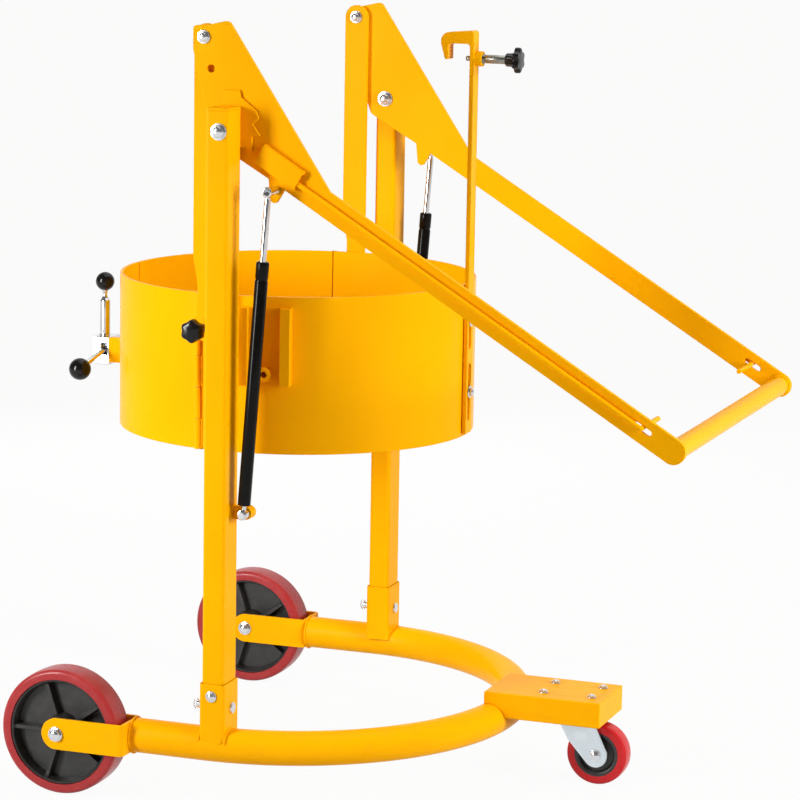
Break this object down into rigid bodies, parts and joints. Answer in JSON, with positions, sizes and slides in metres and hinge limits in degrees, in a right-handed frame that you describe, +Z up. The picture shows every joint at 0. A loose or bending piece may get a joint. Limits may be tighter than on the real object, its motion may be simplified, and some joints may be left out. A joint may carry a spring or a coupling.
{
  "type": "drum tipper",
  "caption": "Wheeled hand tipper for steel drums: a lever on two posts lifts a clamping saddle on a horseshoe base, and the saddle tips to pour.",
  "frame": {"origin": "on the floor under the middle of the overall box", "axes": "+X from the saddle towards the hand grip, +Y to the operator's right, +Z up"},
  "size_m": [1.1078, 0.848, 1.2097],
  "materials": {
    "paint": "gloss yellow-orange powder coat",
    "tread": "matt brick-red polyurethane",
    "core": "black moulded nylon",
    "zinc": "bright zinc plate",
    "bright": "polished chrome",
    "knob": "gloss black phenolic",
    "cylinder": "black enamel"
  },
  "bodies": {
    "frame": {"base_tube": "paint", "rear_fork_left": "paint", "rear_fork_right": "paint", "rear_axles": "zinc", "caster_box": "paint", "caster_plate": "zinc", "caster_bolts": "zinc", "caster_kingpin": "zinc", "post_left": "paint", "post_right": "paint", "post_sockets": "paint", "post_caps": "paint", "socket_bolts": "zinc", "clevis_pins": "zinc", "r_clips": "zinc", "ratchet_sectors": "paint", "fulcrum_bolts": "zinc", "spring_lugs": "paint", "spring_pins": "zinc"},
    "rear_wheel_left": {"rear_core_left": "core", "rear_tread_left": "tread"},
    "rear_wheel_right": {"rear_core_right": "core", "rear_tread_right": "tread"},
    "caster_swivel": {"caster_fork": "zinc", "caster_axle": "zinc"},
    "caster_wheel": {"caster_core": "core", "caster_tread": "tread"},
    "lever": {"lever_plate_left": "paint", "lever_plate_right": "paint", "pivot_bolts": "zinc", "spring_studs": "zinc", "grip_tube": "paint", "pawl_housings": "paint"},
    "pawl_left": {"pawl_left": "paint", "release_rod_left": "paint"},
    "pawl_right": {"pawl_right": "paint", "release_rod_right": "paint"},
    "hanger": {"hanger_bar_left": "paint", "hanger_bar_right": "paint"},
    "saddle": {"saddle_band": "paint", "trunnion_pins": "paint", "hinge_pins": "zinc", "lock_bracket": "paint", "hook_guide_bolts": "zinc"},
    "gate_left": {"gate_left": "paint", "latch_block": "zinc"},
    "gate_right": {"gate_right": "paint"},
    "latch_pin": {"latch_pin": "bright", "latch_ball": "knob"},
    "latch_handle": {"latch_handle": "bright", "handle_ball": "knob"},
    "hook_bar": {"hook_bar": "paint"},
    "hook_screw": {"hook_screw": "zinc", "hook_knob": "knob"},
    "tilt_screw": {"tilt_screw": "zinc", "tilt_knob": "knob"},
    "gas_cylinder_left": {"gas_cylinder_left": "cylinder"},
    "gas_cylinder_right": {"gas_cylinder_right": "cylinder"},
    "gas_rod_left": {"gas_rod_left": "bright"},
    "gas_rod_right": {"gas_rod_right": "bright"}
  },
  "joints": [
    {"name": "rear_wheel_left_spin", "type": "hinge", "parent": "frame", "child": "rear_wheel_left", "pos_m": [-0.41996, -0.378, 0.1], "axis": [0, 1, 0], "continuous": true},
    {"name": "rear_wheel_right_spin", "type": "hinge", "parent": "frame", "child": "rear_wheel_right", "pos_m": [-0.41996, 0.378, 0.1], "axis": [0, 1, 0], "continuous": true},
    {"name": "caster_turn", "type": "hinge", "parent": "frame", "child": "caster_swivel", "pos_m": [0.29404, 0, 0.12], "axis": [0, 0, 1], "continuous": true},
    {"name": "caster_spin", "type": "hinge", "parent": "caster_swivel", "child": "caster_wheel", "pos_m": [0.33904, 0, 0.05], "axis": [0, 1, 0], "continuous": true},
    {"name": "lever_swing", "type": "hinge", "parent": "frame", "child": "lever", "pos_m": [-0.16296, 0, 1.049], "axis": [0, -1, 0], "range_deg": [0, 100]},
    {"name": "pawl_left_slide", "type": "slide", "parent": "lever", "child": "pawl_left", "axis": [0.8554, 0, -0.518], "range_m": [-0.009, 0]},
    {"name": "pawl_right_slide", "type": "slide", "parent": "lever", "child": "pawl_right", "axis": [0.8554, 0, -0.518], "range_m": [-0.009, 0]},
    {"name": "hanger_pivot", "type": "hinge", "parent": "lever", "child": "hanger", "pos_m": [-0.21396, 0, 1.185], "axis": [0, -1, 0], "range_deg": [-100.5, 0.5]},
    {"name": "saddle_tip", "type": "hinge", "parent": "hanger", "child": "saddle", "pos_m": [-0.21396, 0, 0.742], "axis": [0, -1, 0], "range_deg": [0, 135]},
    {"name": "gate_left_hinge", "type": "hinge", "parent": "saddle", "child": "gate_left", "pos_m": [-0.23903, -0.28669, 0.545], "axis": [0, 0, -1], "range_deg": [-58, 0]},
    {"name": "gate_right_hinge", "type": "hinge", "parent": "saddle", "child": "gate_right", "pos_m": [-0.23903, 0.28669, 0.545], "axis": [0, 0, 1], "range_deg": [-58, 0]},
    {"name": "latch_pin_drop", "type": "slide", "parent": "gate_left", "child": "latch_pin", "axis": [0, 0, 1], "range_m": [-0.026, 0]},
    {"name": "latch_handle_swing", "type": "hinge", "parent": "gate_left", "child": "latch_handle", "pos_m": [-0.52636, -0.005, 0.6448], "axis": [1, 0, 0], "range_deg": [-12, 12]},
    {"name": "hook_height", "type": "slide", "parent": "saddle", "child": "hook_bar", "axis": [0, 0, 1], "range_m": [-0.04, 0.04]},
    {"name": "hook_screw_feed", "type": "slide", "parent": "hook_bar", "child": "hook_screw", "axis": [-1, 0, 0], "range_m": [-0.005, 0.018]},
    {"name": "tilt_screw_turn", "type": "hinge", "parent": "saddle", "child": "tilt_screw", "pos_m": [-0.21396, -0.354, 0.742], "axis": [0, 1, 0], "continuous": true},
    {"name": "gas_cylinder_left_swing", "type": "hinge", "parent": "frame", "child": "gas_cylinder_left", "pos_m": [-0.12876, -0.361, 0.465], "axis": [0, 1, 0], "range_deg": [-0.6196, 0.05]},
    {"name": "gas_rod_left_stroke", "type": "slide", "parent": "gas_cylinder_left", "child": "gas_rod_left", "axis": [0.0717, 0, 0.9974], "range_m": [-0.0005, 0.1737]},
    {"name": "gas_cylinder_right_swing", "type": "hinge", "parent": "frame", "child": "gas_cylinder_right", "pos_m": [-0.12876, 0.361, 0.465], "axis": [0, 1, 0], "range_deg": [-0.6196, 0.05]},
    {"name": "gas_rod_right_stroke", "type": "slide", "parent": "gas_cylinder_right", "child": "gas_rod_right", "axis": [0.0717, 0, 0.9974], "range_m": [-0.0005, 0.1737]}
  ],
  "couplings": [
    {"joint": "hanger_pivot", "follows": "lever_swing", "ratio": -1},
    {"joint": "gas_cylinder_left_swing", "follows": "lever_swing", "ratio": -0.0056958},
    {"joint": "gas_rod_left_stroke", "follows": "lever_swing", "m_per_rad": 0.099235},
    {"joint": "gas_cylinder_right_swing", "follows": "lever_swing", "ratio": -0.0056958},
    {"joint": "gas_rod_right_stroke", "follows": "lever_swing", "m_per_rad": 0.099235}
  ]
}
